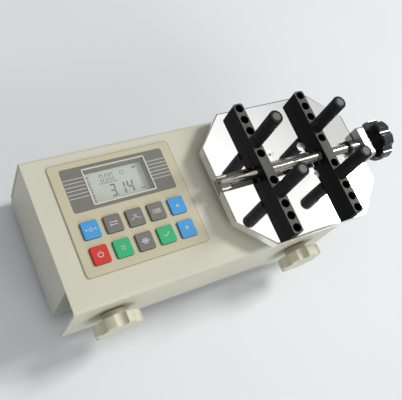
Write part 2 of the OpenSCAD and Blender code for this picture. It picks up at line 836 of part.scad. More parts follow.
battery_low_x = grid_x + main_len / 2 + battery_gap;
battery_high_x = x_axis - base_w / 2 - battery_gap;
battery_x = (battery_low_x + battery_high_x) / 2;
cell_len = battery_high_x - battery_low_x;
battery_d = cells_wide * cell_dia;
strap_screw_y = (battery_d + strap_ear + strap_t) / 2;

// Cells in two layers
module battery_pack() {
    color([0.2, 0.36, 0.6]) for (i = [0 : cells_wide - 1], layer = [0, 1])
        rod_x(battery_x - cell_len / 2, chassis_y + (i + 1 / 2) * cell_dia - battery_d / 2,
            floor_z + (layer + 1 / 2) * cell_dia, cell_dia / 2, cell_len);
}

module battery_strap() {
    color([0.7, 0.7, 0.72]) difference() {
        union() {
            block(battery_x, chassis_y, floor_z, strap_w, battery_d + 2 * strap_t, 2 * cell_dia + strap_t);
            block(battery_x, chassis_y, floor_z, strap_w, battery_d + 2 * strap_ear, strap_t);
        }
        block(battery_x, chassis_y, floor_z - over, strap_w + 2 * over, battery_d, 2 * cell_dia + over);
        for (s = [-1, 1])
            translate([battery_x, chassis_y + s * strap_screw_y, floor_z - over])
                cylinder(d = small_screw_dia, h = strap_t + 2 * over);
    }
}

module charging_socket() {
    color([0.12, 0.12, 0.12]) translate([x_left + jack_from_left, y_rear, socket_z]) rotate([-90, 0, 0]) {
        difference() {
            union() {
                translate([0, 0, -jack_bore_len - board_t])
                    cylinder(d = jack_dia, h = jack_bore_len + 2 * board_t);
                cylinder(d = jack_nut_dia, h = board_t);
            }
            translate([0, 0, 2 * board_t - jack_bore_len - board_t])
                cylinder(d = jack_bore, h = jack_bore_len + over);
        }
        translate([0, 0, -jack_bore_len]) cylinder(d = jack_pin_dia, h = jack_bore_len);
    }
}

// The data socket: a flange on the cover, a shell with its pin block, and a body behind
module data_socket() {
    color([0.7, 0.7, 0.72]) translate([x_left + port_from_left, y_rear, socket_z]) rotate([-90, 0, 0]) {
        linear_extrude(port_flange_t) rounded(port_flange_len, port_flange_h, port_flange_t);
        difference() {
            linear_extrude(port_proud) rounded(port_len, port_height, port_height / 6);
            translate([0, 0, port_flange_t]) linear_extrude(port_proud)
                rounded(port_len - port_flange_t, port_height - port_flange_t, port_height / 8);
        }
        for (row = [-1, 1], i = [-2 : (row < 0 ? 2 : 1)])
            translate([(i + (row < 0 ? 0 : 1 / 2)) * port_len / 6, row * port_height / 6, 0])
                cylinder(d = board_t / 2, h = port_proud * 4 / 5);
        translate([0, 0, -port_body_len]) linear_extrude(port_body_len)
            rounded(port_len, port_height, port_height / 6);
        for (s = [-1, 1]) translate([s * port_screw_pitch / 2, 0, port_flange_t])
            cylinder(d = small_head_dia - port_flange_t, h = port_proud - 2 * port_flange_t, $fn = 6);
    }
}

module at_sensor_screws() {
    for (a = [45 : 90 : 315])
        rotate([0, 0, a]) translate([sensor_pcd / 2, 0, 0]) children();
}

module sensor_base() {
    color([0.62, 0.63, 0.65]) translate([x_axis, y_axis, 0]) difference() {
        slab(0, 0, floor_z, base_w, base_w, base_t, base_t / 2);
        translate([0, 0, floor_z + base_t / 3]) at_sensor_screws() cylinder(d = sensor_screw_dia, h = base_t);
    }
}

// Half outline of the sensor spool: two flanges and a filleted gauge section
module sensor_half() {
    low = sensor_z + sensor_flange_t;
    high = sensor_top - sensor_flange_t;
    difference() {
        union() {
            translate([0, sensor_z]) square([sensor_dia / 2, sensor_flange_t]);
            translate([0, high]) square([sensor_top_dia / 2, sensor_flange_t]);
            translate([0, low]) square([gauge_dia / 2 + gauge_fillet, high - low]);
        }
        translate([gauge_dia / 2, low + gauge_fillet])
            square([gauge_fillet + over, high - low - 2 * gauge_fillet]);
        for (z = [low + gauge_fillet, high - gauge_fillet])
            translate([gauge_dia / 2 + gauge_fillet, z]) circle(gauge_fillet);
        translate([0, sensor_z - over]) square([gauge_bore / 2, sensor_top - sensor_z + 2 * over]);
    }
}

// The torque sensor: a spool with four flats for its strain gauges
module torque_sensor() {
    low = sensor_z + sensor_flange_t + gauge_fillet;
    high = sensor_top - sensor_flange_t - gauge_fillet;
    color([0.74, 0.75, 0.77]) translate([x_axis, y_axis, 0]) difference() {
        rotate_extrude() sensor_half();
        for (a = [0 : 90 : 270]) rotate([0, 0, a])
            translate([gauge_flat / 2, -gauge_dia / 2, low + gauge_fillet / 2])
                cube([gauge_dia, gauge_dia, high - low - gauge_fillet]);
        translate([0, 0, sensor_z - over]) at_sensor_screws()
            cylinder(d = sensor_screw_dia, h = sensor_flange_t + 2 * over);
    }
}

module sensor_screws() {
    color([0.2, 0.2, 0.21]) translate([x_axis, y_axis, sensor_z + sensor_flange_t]) at_sensor_screws()
        difference() {
            union() {
                cylinder(d = sensor_screw_dia * 7 / 4, h = sensor_screw_dia);
                translate([0, 0, -sensor_flange_t - base_t / 3])
                    cylinder(d = sensor_screw_dia, h = sensor_flange_t + base_t / 3);
            }
            translate([0, 0, sensor_screw_dia / 2])
                cylinder(d = sensor_screw_dia, h = sensor_screw_dia, $fn = 6);
        }
}

hub_bolt_z = plate_low - hub_head_h;

module at_plate_screws() {
    for (sx = [-1, 1], sy = [-1, 1])
        translate([x_axis + sx * plate_screw_x, y_axis + sy * plate_screw_y, 0]) children();
}

module drive_hub() {
    color([0.6, 0.61, 0.63]) difference() {
        translate([x_axis, y_axis, 0]) {
            translate([0, 0, hub_low]) cylinder(d = hub_flange_dia, h = plate_low - hub_low);
            translate([0, 0, sensor_top]) cylinder(d = hub_dia, h = plate_low - sensor_top);
        }
        translate([x_axis, y_axis, hub_bolt_z])
            cylinder(d = hub_head_dia + 2 * rear_fit, h = hub_head_h + over);
        translate([x_axis, y_axis, sensor_top - over])
            cylinder(d = hub_bolt_dia + 2 * rear_fit, h = plate_low - sensor_top);
        at_plate_screws() translate([0, 0, hub_low - over])
            cylinder(d = plate_screw_dia, h = plate_low - hub_low + 2 * over);
    }
}

module hub_bolt() {
    reach = hub_bolt_z - sensor_top + 2 * sensor_flange_t;
    color([0.2, 0.2, 0.21]) translate([x_axis, y_axis, hub_bolt_z]) difference() {
        union() {
            cylinder(d = hub_head_dia, h = hub_head_h - rear_fit);
            translate([0, 0, -reach]) cylinder(d = hub_bolt_dia, h = reach);
        }
        translate([0, 0, hub_head_h / 2]) cylinder(d = hub_head_dia / 2, h = hub_head_h, $fn = 6);
    }
}

// The rubber ring that closes the cover round the turning boss
module dust_seal() {
    inner = hub_dia / 2 + seal_clear;
    color([0.12, 0.12, 0.12]) translate([x_axis, y_axis, 0]) difference() {
        union() {
            translate([0, 0, sheet_z]) cylinder(r = inner + seal_wall, h = cover_t);
            translate([0, 0, panel_h]) cylinder(r = inner + seal_wall + seal_lip_w, h = seal_lip_t);
        }
        translate([0, 0, sheet_z - over]) cylinder(r = inner, h = cover_t + seal_lip_t + 2 * over);
    }
}

// Outline of the platform, drawn in from its edge by inset
module octagon(inset) {
    hx = plate_len / 2 - inset;
    hy = plate_d / 2 - inset;
    cx = corner_x - inset * 2 / 5;
    cy = corner_y - inset * 2 / 5;
    polygon([[hx, hy - cy], [hx - cx, hy], [cx - hx, hy], [-hx, hy - cy],
        [-hx, cy - hy], [cx - hx, -hy], [hx - cx, -hy], [hx, cy - hy]]);
}

// The platform: an octagon with a slot for the screw, open between its two end bridges
module clamp_platform() {
    color([0.86, 0.86, 0.87]) difference() {
        translate([x_axis, y_axis, 0]) {
            translate([0, 0, plate_low]) linear_extrude(plate_t - edge_break) octagon(0);
            translate([0, 0, plate_z - edge_break]) linear_extrude(edge_break) octagon(edge_break / 2);
        }
        block(x_axis, y_axis, plate_low + bridge_t, plate_len + 2 * over, slot_w, plate_t);
        block(x_axis, y_axis, plate_low - over, slot_len, slot_w, plate_t);
        at_plate_screws() {
            translate([0, 0, plate_low - over]) cylinder(d = plate_screw_dia, h = plate_t + 2 * over);
            translate([0, 0, plate_z - plate_screw_dia / 2])
                cylinder(d1 = plate_screw_dia, d2 = plate_head_dia, h = plate_screw_dia / 2);
        }
        for (s = [-1, 1])
            rod_x(bracket_x - bracket_t, y_axis + s * bracket_screw_y, (plate_low + plate_z) / 2,
                bracket_screw_dia / 2, bracket_t + over);
    }
}

module platform_screws() {
    color([0.75, 0.75, 0.77]) at_plate_screws() difference() {
        union() {
            translate([0, 0, hub_low]) cylinder(d = plate_screw_dia, h = plate_z - hub_low);
            translate([0, 0, plate_z - plate_screw_dia / 2])
                cylinder(d1 = plate_screw_dia, d2 = plate_head_dia, h = plate_screw_dia / 2);
        }
        translate([0, 0, plate_z - plate_screw_dia / 3])
            cylinder(d = plate_screw_dia * 2 / 3, h = plate_screw_dia, $fn = 6);
    }
}

// A half bearing in the end of the slot, under the screw
module saddle(x) {
    low = plate_low + bridge_t;
    color([0.6, 0.6, 0.58]) difference() {
        block(x + saddle_len / 2, y_axis, low, saddle_len, saddle_w, screw_z - saddle_drop - low);
        rod_x(x - over, y_axis, screw_z, thread_r + run_clear, saddle_len + 2 * over);
    }
}

module screw_saddles() {
    saddle(x_axis - plate_len / 2 + edge_break);
    saddle(bracket_x - bridge_len);
}

// The full bearing on the right edge of the platform
module screw_bracket() {
    height = screw_z + bracket_over - plate_low;
    color([0.8, 0.8, 0.81]) difference() {
        along_x(bracket_x, bracket_t) translate([y_axis, plate_low + height / 2])
            rounded(bracket_w, height, edge_break * 4);
        rod_x(bracket_x - over, y_axis, screw_z, thread_r + run_clear, bracket_t + 2 * over);
        for (s = [-1, 1])
            rod_x(bracket_x - over, y_axis + s * bracket_screw_y, (plate_low + plate_z) / 2,
                bracket_screw_dia / 2, bracket_t + 2 * over);
    }
}

module bracket_screws() {
    color([0.2, 0.2, 0.21]) for (s = [-1, 1])
        translate([bracket_x + bracket_t, y_axis + s * bracket_screw_y, (plate_low + plate_z) / 2])
            rotate([0, 90, 0]) pan_screw(bracket_screw_dia, bracket_screw_dia * 2, bracket_screw_dia * 2 / 3,
                2 * bracket_t - edge_break);
}

// The screw has a left-hand thread on its left half and a right-hand one on its right half
module clamp_screw() {
    color([0.82, 0.82, 0.84]) difference() {
        union() {
            rod_x(screw_start, y_axis, screw_z, thread_r - edge_break, screw_end - screw_start);
            rod_x(screw_start + edge_break, y_axis, screw_z, thread_r, screw_end - screw_start - edge_break);
        }
        rod_x(screw_start - over, y_axis, screw_z, centre_hole_dia / 2, centre_hole_len + over);
    }
}

// The two collars that keep the screw from moving along: one inside the right saddle, and one
// outside the bracket
module thrust_collars() {
    inside = bracket_x - bridge_len - thrust_play - collar_t;
    outside = bracket_x + bracket_t + thrust_play;
    color([0.35, 0.35, 0.37]) for (x = [inside, outside])
        difference() {
            rod_x(x, y_axis, screw_z, collar_dia / 2, collar_t);
            rod_x(x - over, y_axis, screw_z, thread_r, collar_t + 2 * over);
        }
}

// Round notches, evenly spaced on a circle
module notches(r, dia, reach, count) {
    for (i = [0 : count - 1])
        rotate([0, 0, (i + 1 / 2) * 360 / count]) translate([r + dia / 2 - reach, 0]) circle(d = dia);
}

// The clamp knob: a boss, a fluted rim with rounded edges, and a hollow in its outer face
module clamp_knob() {
    r = clamp_knob_dia / 2;
    soft = clamp_knob_t / 6;
    boss = knob_gap - bracket_t - thrust_play - collar_t;
    color([0.1, 0.1, 0.11]) translate([knob_x, y_axis, screw_z]) rotate([0, 90, 0]) difference() {
        union() {
            intersection() {
                linear_extrude(clamp_knob_t) difference() {
                    circle(r);
                    notches(r, clamp_flute_dia, clamp_flute_in, clamp_lobes);
                }
                rotate_extrude() {
                    square([r - soft, clamp_knob_t]);
                    translate([0, soft]) square([r, clamp_knob_t - 2 * soft]);
                    for (z = [soft, clamp_knob_t - soft]) translate([r - soft, z]) circle(soft);
                }
            }
            translate([0, 0, -boss]) cylinder(d = clamp_boss_dia, h = boss + over);
        }
        translate([0, 0, -boss - over]) cylinder(r = thread_r, h = boss + over + clamp_knob_t / 2);
        translate([0, 0, clamp_knob_t - soft]) cylinder(d = clamp_boss_dia * 4 / 3, h = soft + over);
    }
}

// From the middle of a jaw to hole i
function hole_y(i) = hole_first + (i - 1) * hole_pitch;

// A jaw: a bar with peg holes along its top and a nut block in the slot below
module jaw(side) {
    x = x_axis + side * jaw_offset;
    color([0.13, 0.13, 0.14]) difference() {
        union() {
            slab(x, y_axis, jaw_z, jaw_w, jaw_len, jaw_h, jaw_r);
            block(x, y_axis, lug_low, lug_len, lug_w, jaw_z - lug_low);
        }
        for (i = [1 : hole_count], s = [-1, 1])
            translate([x, y_axis + s * hole_y(i), jaw_z - over])
                cylinder(r = peg_r + run_clear, h = jaw_h + 2 * over);
        rod_x(x - lug_len / 2 - over, y_axis, screw_z, thread_r + run_clear, lug_len + 2 * over);
    }
}

module left_jaw() { jaw(-1); }
module right_jaw() { jaw(1); }

// Stands something on the hole of a jaw that holds a peg
module at_peg(side, row) {
    translate([x_axis + side * jaw_offset, y_axis + row * hole_y(peg_position), jaw_top]) children();
}

// A pin of a peg: it drops into the jaw, and both its ends are chamfered
module pin(side, row) {
    color([0.62, 0.63, 0.62]) at_peg(side, row) {
        translate([0, 0, -peg_in]) cylinder(r1 = peg_r - peg_chamfer, r2 = peg_r, h = peg_chamfer);
        translate([0, 0, peg_chamfer - peg_in]) cylinder(r = peg_r, h = peg_in + peg_h - 2 * peg_chamfer);
        translate([0, 0, peg_h - peg_chamfer])
            cylinder(r1 = peg_r, r2 = peg_r - peg_chamfer, h = peg_chamfer);
    }
}

// The rubber sleeve bonded on a pin, with a rounded top
module sleeve(side, row) {
    wall = sleeve_dia / 2 - peg_r;
    height = peg_h - peg_chamfer - jaw_gap;
    color([0.1, 0.1, 0.1]) at_peg(side, row) translate([0, 0, jaw_gap]) rotate_extrude() {
        translate([peg_r, 0]) square([wall, height - sleeve_round]);
        translate([peg_r, 0]) square([wall - sleeve_round, height]);
        translate([sleeve_dia / 2 - sleeve_round, height - sleeve_round]) circle(sleeve_round);
    }
}

module left_rear_pin() { pin(-1, 1); }
module left_front_pin() { pin(-1, -1); }
module right_rear_pin() { pin(1, 1); }
module right_front_pin() { pin(1, -1); }
module left_rear_sleeve() { sleeve(-1, 1); }
module left_front_sleeve() { sleeve(-1, -1); }
module right_rear_sleeve() { sleeve(1, 1); }
module right_front_sleeve() { sleeve(1, -1); }

left_x = x_left + hand_inset;
right_x = x_right - hand_inset;

// The nuts welded inside the front flange
module weld_nuts() {
    color([0.7, 0.7, 0.72]) at_hand_screws() translate([0, inner_flange, hand_z]) rotate([-90, 0, 0])
        difference() {
            cylinder(d = nut_af / cos(30), h = nut_t, $fn = 6);
            translate([0, 0, -over]) cylinder(r = stud_r + run_clear, h = nut_t + 2 * over);
        }
}

// The pad that the stud presses with; it slides and doesn't turn
module pressure_pad(x) {
    color([0.14, 0.14, 0.14]) difference() {
        rod_y(x, pad_y, hand_z, pad_dia / 2, pad_t);
        rod_y(x, pad_y - over, hand_z, stud_r + run_clear, pad_socket + over);
    }
}

module stud(x) {
    color([0.72, 0.72, 0.74])
        rod_y(x, hand_y - hand_t / 2, hand_z, stud_r, pad_y + pad_socket - thrust_play - hand_y + hand_t / 2);
}

// A hand knob: a lobed disc with rounded edges and a stepped boss towards the flange
module hand_knob(x, turn) {
    r = hand_dia / 2;
    color([0.87, 0.85, 0.78]) translate([x, hand_y, hand_z]) rotate([90, 0, 0]) rotate(turn)
        difference() {
        union() {
            intersection() {
                linear_extrude(hand_t) difference() {
                    circle(r);
                    notches(r, scallop_dia, scallop_in, hand_lobes);
                }
                rotate_extrude() {
                    square([r - hand_round, hand_t]);
                    translate([0, hand_round]) square([r, hand_t - 2 * hand_round]);
                    for (z = [hand_round, hand_t - hand_round])
                        translate([r - hand_round, z]) circle(hand_round);
                }
            }
            translate([0, 0, -hand_boss]) cylinder(d = hand_boss_dia, h = hand_boss + over);
        }
        translate([0, 0, -hand_boss - over]) cylinder(r = stud_r, h = hand_boss + over + hand_t / 2);
    }
}

module left_pressure_pad() { pressure_pad(left_x); }
module right_pressure_pad() { pressure_pad(right_x); }
module left_stud() { stud(left_x); }
module right_stud() { stud(right_x); }
module left_hand_knob() { hand_knob(left_x, left_hand_turn); }
module right_hand_knob() { hand_knob(right_x, right_hand_turn); }

base_chassis();
rubber_feet();
top_cover();
cover_screws();
keypad_overlay();
display_fascia();
display_bezel();
display_lens();
display_module();
keypad_board();
main_board();
zero_key();
unit_key();
peak_key();
memory_key();
up_key();
power_key();
clear_key();
print_key();
set_key();
down_key();
board_standoffs();
board_screws();
battery_pack();
battery_strap();
charging_socket();
data_socket();
sensor_base();
torque_sensor();
sensor_screws();
drive_hub();
hub_bolt();
dust_seal();
clamp_platform();
platform_screws();
screw_saddles();
screw_bracket();
bracket_screws();
clamp_screw();
thrust_collars();
clamp_knob();
left_jaw();
right_jaw();
left_rear_pin();
left_front_pin();
right_rear_pin();
right_front_pin();
left_rear_sleeve();
left_front_sleeve();
right_rear_sleeve();
right_front_sleeve();
weld_nuts();
left_pressure_pad();
right_pressure_pad();
left_stud();
right_stud();
left_hand_knob();
right_hand_knob();
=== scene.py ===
"""Looks of the torque tester: finishes, display figures, key signs, screw threads, table and light.

Lengths are in metres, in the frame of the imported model, and places come from the boxes of its nodes.
"""

import math

import bmesh
import bpy
from mathutils import Matrix, Vector


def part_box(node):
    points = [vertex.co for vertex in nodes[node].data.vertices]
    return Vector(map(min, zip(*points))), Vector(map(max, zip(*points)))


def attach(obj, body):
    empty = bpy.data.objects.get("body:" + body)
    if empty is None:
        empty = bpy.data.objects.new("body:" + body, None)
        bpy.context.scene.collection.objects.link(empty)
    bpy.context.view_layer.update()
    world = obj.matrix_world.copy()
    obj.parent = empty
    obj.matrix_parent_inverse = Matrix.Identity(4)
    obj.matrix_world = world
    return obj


MM = 0.001
QUARTER = math.pi / 2

# Camera at the photograph's viewing angle
CAMERA_PLACE = Vector((-254.35, -137.05, 493.11)) * MM
CAMERA_TARGET = Vector((-3.16, -2.54, 68.0)) * MM
CAMERA_ROLL = math.radians(41.14)
CAMERA_LENS = 58.57
CAMERA_SENSOR = 36
CAMERA_SHIFT = (-0.0726, -0.0143)
CAMERA_NEAREST = 10 * MM

# Square lamps: name, place, width, power in watts and colour
LAMPS = [
    ("key_light", (2.42, 0.35, 2.42), 0.8, 77, (1.0, 0.985, 0.95)),
    ("front_light", (0.5, -2.6, 1.3), 1.6, 31, (1.0, 0.99, 0.97)),
]
LAMP_TARGET = Vector((0, 0, 50)) * MM

# Light from all round
ROUND_TINT = (0.97, 0.98, 1.0, 1)
SOFT_LIGHT = 0.42
WHITE_LIGHT = 1.0
# What polished metal sees of the room, by the height of the direction it looks in
ROOM_SHADES = [(0.0, 0.36), (0.3, 0.42), (0.58, 0.58), (0.73, 0.7), (0.81, 1.1)]

TABLE_WIDTH = 6.0
TABLE_THICK = 20 * MM

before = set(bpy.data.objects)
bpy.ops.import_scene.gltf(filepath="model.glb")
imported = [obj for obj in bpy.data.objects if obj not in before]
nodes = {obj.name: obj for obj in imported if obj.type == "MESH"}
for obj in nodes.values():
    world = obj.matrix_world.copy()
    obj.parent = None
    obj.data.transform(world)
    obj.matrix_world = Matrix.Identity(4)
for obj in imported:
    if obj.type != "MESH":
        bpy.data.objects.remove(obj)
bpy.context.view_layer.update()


def low(node):
    return Vector(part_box(node)[0])


def high(node):
    return Vector(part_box(node)[1])


def middle(node):
    return (low(node) + high(node)) / 2


def size(node):
    return high(node) - low(node)


# Camera and light

def add_camera():
    forward = (CAMERA_TARGET - CAMERA_PLACE).normalized()
    right = forward.cross(Vector((0, 0, 1))).normalized()
    up = right.cross(forward)
    turned_right = right * math.cos(CAMERA_ROLL) + up * math.sin(CAMERA_ROLL)
    turned_up = turned_right.cross(forward)
    data = bpy.data.cameras.new("camera")
    data.sensor_width = CAMERA_SENSOR
    data.lens = CAMERA_LENS
    data.shift_x, data.shift_y = CAMERA_SHIFT
    data.clip_start = CAMERA_NEAREST
    camera = bpy.data.objects.new("camera", data)
    axes = Matrix((turned_right, turned_up, -forward)).transposed()
    camera.matrix_world = Matrix.Translation(CAMERA_PLACE) @ axes.to_4x4()
    bpy.context.scene.collection.objects.link(camera)
    bpy.context.scene.camera = camera


def add_lamp(name, place, width, power, tint):
    data = bpy.data.lights.new(name, "AREA")
    data.shape = "SQUARE"
    data.size = width
    data.energy = power
    data.color = tint
    lamp = bpy.data.objects.new(name, data)
    lamp.location = place
    lamp.rotation_euler = (LAMP_TARGET - Vector(place)).to_track_quat("-Z", "Y").to_euler()
    bpy.context.scene.collection.objects.link(lamp)


def fill_ramp(node, stops):
    """Give a colour ramp its stops, a list of (place, (red, green, blue))."""
    points = node.color_ramp.elements
    while len(points) < len(stops):
        points.new(0.5)
    for point, (at, tint) in zip(points, stops):
        point.position = at
        point.color = (*tint, 1)


def add_world():
    """Soft even light; the camera and glass see white, and polished metal sees a darker horizon."""
    world = bpy.data.worlds.new("studio")
    bpy.context.scene.world = world
    world.use_nodes = True
    tree = world.node_tree
    tree.nodes.clear()

    def background(strength):
        node = tree.nodes.new("ShaderNodeBackground")
        node.inputs["Color"].default_value = ROUND_TINT
        node.inputs["Strength"].default_value = strength
        return node

    def mixed(factor, first, second):
        node = tree.nodes.new("ShaderNodeMixShader")
        tree.links.new(factor, node.inputs[0])
        tree.links.new(first.outputs[0], node.inputs[1])
        tree.links.new(second.outputs[0], node.inputs[2])
        return node

    path = tree.nodes.new("ShaderNodeLightPath")
    seen = tree.nodes.new("ShaderNodeMath")
    seen.operation = "MAXIMUM"
    tree.links.new(path.outputs["Is Camera Ray"], seen.inputs[0])
    tree.links.new(path.outputs["Is Transmission Ray"], seen.inputs[1])
    direction = tree.nodes.new("ShaderNodeTexCoord")
    split = tree.nodes.new("ShaderNodeSeparateXYZ")
    tree.links.new(direction.outputs["Generated"], split.inputs[0])
    ramp = tree.nodes.new("ShaderNodeValToRGB")
    fill_ramp(ramp, [(height, (level, level, level)) for height, level in ROOM_SHADES])
    tree.links.new(split.outputs["Z"], ramp.inputs["Fac"])
    room = background(WHITE_LIGHT)
    tree.links.new(ramp.outputs["Color"], room.inputs["Color"])
    soft_or_white = mixed(seen.outputs[0], background(SOFT_LIGHT), background(WHITE_LIGHT))
    whole = mixed(path.outputs["Is Glossy Ray"], soft_or_white, room)
    out = tree.nodes.new("ShaderNodeOutputWorld")
    tree.links.new(whole.outputs[0], out.inputs["Surface"])


# Materials: noise is given in cycles for each metre, and a bump's depth in metres

class Finish:
    """A principled material with helpers for its procedural parts."""

    def __init__(self, name, rough=0.5, metal=0.0, specular=0.2):
        self.material = bpy.data.materials.new(name)
        self.material.use_nodes = True
        self.tree = self.material.node_tree
        self.shader = self.tree.nodes["Principled BSDF"]
        self.shader.inputs["Roughness"].default_value = rough
        self.shader.inputs["Metallic"].default_value = metal
        self.shader.inputs["Specular IOR Level"].default_value = specular
        self.place = self.tree.nodes.new("ShaderNodeTexCoord").outputs["Object"]

    def link(self, a, b):
        self.tree.links.new(a, b)

    def feed(self, value, socket):
        """Link a node's output to the socket, or set a plain value on it."""
        if isinstance(value, bpy.types.NodeSocket):
            self.link(value, socket)
        else:
            socket.default_value = value

    def noise(self, per_metre, detail=3.0, roughness=0.5, stretch=(1, 1, 1)):
        mapping = self.tree.nodes.new("ShaderNodeMapping")
        mapping.inputs["Scale"].default_value = stretch
        self.link(self.place, mapping.inputs["Vector"])
        node = self.tree.nodes.new("ShaderNodeTexNoise")
        node.inputs["Scale"].default_value = per_metre
        node.inputs["Detail"].default_value = detail
        node.inputs["Roughness"].default_value = roughness
        self.link(mapping.outputs["Vector"], node.inputs["Vector"])
        return node.outputs["Fac"]

    def voronoi(self, per_metre):
        node = self.tree.nodes.new("ShaderNodeTexVoronoi")
        node.inputs["Scale"].default_value = per_metre
        self.link(self.place, node.inputs["Vector"])
        return node.outputs["Distance"]

    def split(self, vector):
        """The X, Y and Z of a vector."""
        node = self.tree.nodes.new("ShaderNodeSeparateXYZ")
        self.link(vector, node.inputs[0])
        return node.outputs

    def upward(self):
        """How far the surface points up: 1 on a top, 0 on a side wall."""
        return self.split(self.tree.nodes.new("ShaderNodeNewGeometry").outputs["Normal"])[2]

    def maths(self, operation, a, b=0.0):
        node = self.tree.nodes.new("ShaderNodeMath")
        node.operation = operation
        for value, socket in zip((a, b), node.inputs):
            self.feed(value, socket)
        return node.outputs[0]

    def ramp(self, factor, stops):
        node = self.tree.nodes.new("ShaderNodeValToRGB")
        fill_ramp(node, stops)
        self.link(factor, node.inputs["Fac"])
        return node.outputs["Color"]

    def mixed(self, factor, first, second):
        """The first colour where the factor is 0, the second where it is 1."""
        node = self.tree.nodes.new("ShaderNodeMix")
        node.data_type = "RGBA"
        self.link(factor, node.inputs["Factor"])
        self.feed(first, node.inputs["A"])
        self.feed(second, node.inputs["B"])
        return node.outputs["Result"]

    def colour(self, colour):
        self.link(colour, self.shader.inputs["Base Color"])

    def colour_between(self, factor, dark, light, start=0.3, end=0.7):
        self.colour(self.ramp(factor, [(start, dark), (end, light)]))

    def rough_between(self, factor, least, most, start=0.3, end=0.7):
        node = self.tree.nodes.new("ShaderNodeMapRange")
        node.inputs["From Min"].default_value = start
        node.inputs["From Max"].default_value = end
        node.inputs["To Min"].default_value = least
        node.inputs["To Max"].default_value = most
        self.link(factor, node.inputs["Value"])
        self.link(node.outputs["Result"], self.shader.inputs["Roughness"])

    def bump(self, factor, strength, depth):
        node = self.tree.nodes.new("ShaderNodeBump")
        node.inputs["Strength"].default_value = strength
        node.inputs["Distance"].default_value = depth
        self.link(factor, node.inputs["Height"])
        self.link(node.outputs["Normal"], self.shader.inputs["Normal"])


def shade(tint, factor):
    return tuple(min(1.0, c * factor) for c in tint)


def powder_coat(name, tint, rough=0.45):
    """Paint with a fine orange-peel grain and slightly uneven gloss."""
    f = Finish(name, rough)
    f.colour_between(f.noise(18, 4), shade(tint, 0.965), shade(tint, 1.02))
    f.rough_between(f.noise(60), rough - 0.06, rough + 0.08)
    f.bump(f.noise(2600, 2, 0.6), strength=0.16, depth=0.06 * MM)
    return f.material


def printed_film(name, tint, rough=0.5):
    f = Finish(name, rough)
    f.colour_between(f.noise(40), shade(tint, 0.97), shade(tint, 1.02))
    f.bump(f.noise(4200, 1), strength=0.12, depth=0.03 * MM)
    return f.material


def moulded(name, tint, rough=0.4, grain=2200, depth=0.04 * MM, specular=0.2):
    """Moulded plastic or foam with a spark-eroded grain."""
    f = Finish(name, rough, specular=specular)
    f.colour_between(f.noise(70, 4), shade(tint, 0.94), shade(tint, 1.04))
    f.rough_between(f.noise(140), rough - 0.05, rough + 0.08)
    f.bump(f.noise(grain, 2), strength=0.2, depth=depth)
    return f.material


def key_cap(name, tint, rough=0.42):
    """A coloured top on a key whose side walls carry painted shade, darker than the top."""
    f = Finish(name, rough)
    # Painted shade: the side walls are darkened to 0.22 of the tint where the face points sideways
    f.colour_between(f.upward(), shade(tint, 0.22), tint, start=0.35, end=0.8)
    f.rough_between(f.noise(140), rough - 0.05, rough + 0.08)
    f.bump(f.noise(2200, 2), strength=0.2, depth=0.04 * MM)
    return f.material


def rubber(name):
    f = Finish(name, rough=0.6, specular=0.12)
    f.colour_between(f.noise(160, 4), (0.005, 0.005, 0.005), (0.011, 0.011, 0.011))
    f.rough_between(f.noise(300), 0.5, 0.72)
    f.bump(f.noise(3200, 3, 0.6), strength=0.25, depth=0.06 * MM)
    return f.material


def bare_metal(name, tint, rough, stretch=(1, 1, 1), grain=900):
    """Metal with a turned or brushed grain; a stretch under 1 draws the grain out along that axis."""
    f = Finish(name, rough, metal=1.0)
    f.colour_between(f.noise(90, stretch=stretch), shade(tint, 0.92), shade(tint, 1.03))
    f.rough_between(f.noise(grain, 2, stretch=stretch), max(0.02, rough - 0.08), rough + 0.1)
    f.bump(f.noise(grain * 2, 2, stretch=stretch), strength=0.1, depth=0.02 * MM)
    return f.material


def dull_steel(name, tint):
    """Steel with a dark oxide skin, so that it shines only a little."""
    f = Finish(name, rough=0.5, metal=0.25, specular=0.08)
    f.colour_between(f.noise(220, 4, 0.6), shade(tint, 0.85), shade(tint, 1.1))
    f.rough_between(f.noise(500), 0.44, 0.6)
    f.bump(f.noise(1800, 2), strength=0.1, depth=0.02 * MM)
    return f.material


def mirror_chrome(name, plate):
    """A mirror with a painted dark reflection along the rim of its octagonal top, which stands in for the
    dark room its chamfer reflects, and satin sides.
    """
    mirror = (0.94, 0.94, 0.935)
    painted_rim_reflection = (0.2, 0.195, 0.18)
    side = (0.93, 0.92, 0.87, 1)
    top_from = 0.9
    places = [v.co for v in plate.data.vertices]
    centre = [(min(c[i] for c in places) + max(c[i] for c in places)) / 2 for i in (0, 1)]
    half = [max(c[i] for c in places) - centre[i] for i in (0, 1)]
    corner = max(abs(c[0] - centre[0]) + abs(c[1] - centre[1]) for c in places)
    f = Finish(name, rough=0.04, metal=1.0)
    axes = f.split(f.place)
    off = [f.maths("ABSOLUTE", f.maths("SUBTRACT", axes[i], centre[i])) for i in (0, 1)]
    past_sides = f.maths("MAXIMUM", *(f.maths("SUBTRACT", off[i], half[i]) for i in (0, 1)))
    past_corner = f.maths("SUBTRACT", f.maths("ADD", off[0], off[1]), corner)
    past_corner = f.maths("MULTIPLY", past_corner, math.sqrt(0.5))
    # Painted reflection: a dark band along the rim stands in for the dark room the chamfer reflects
    rim = f.maths("GREATER_THAN", f.maths("MAXIMUM", past_sides, past_corner), -PAINTED_RIM_REFLECTION_WIDTH)
    up = f.upward()
    top = f.ramp(rim, [(0.0, mirror), (1.0, painted_rim_reflection)])
    f.colour(f.mixed(f.maths("GREATER_THAN", up, top_from), side, top))
    f.rough_between(up, 0.34, 0.04, start=0.3, end=0.95)
    f.bump(f.noise(45, 2), strength=0.004, depth=0.2 * MM)
    return f.material


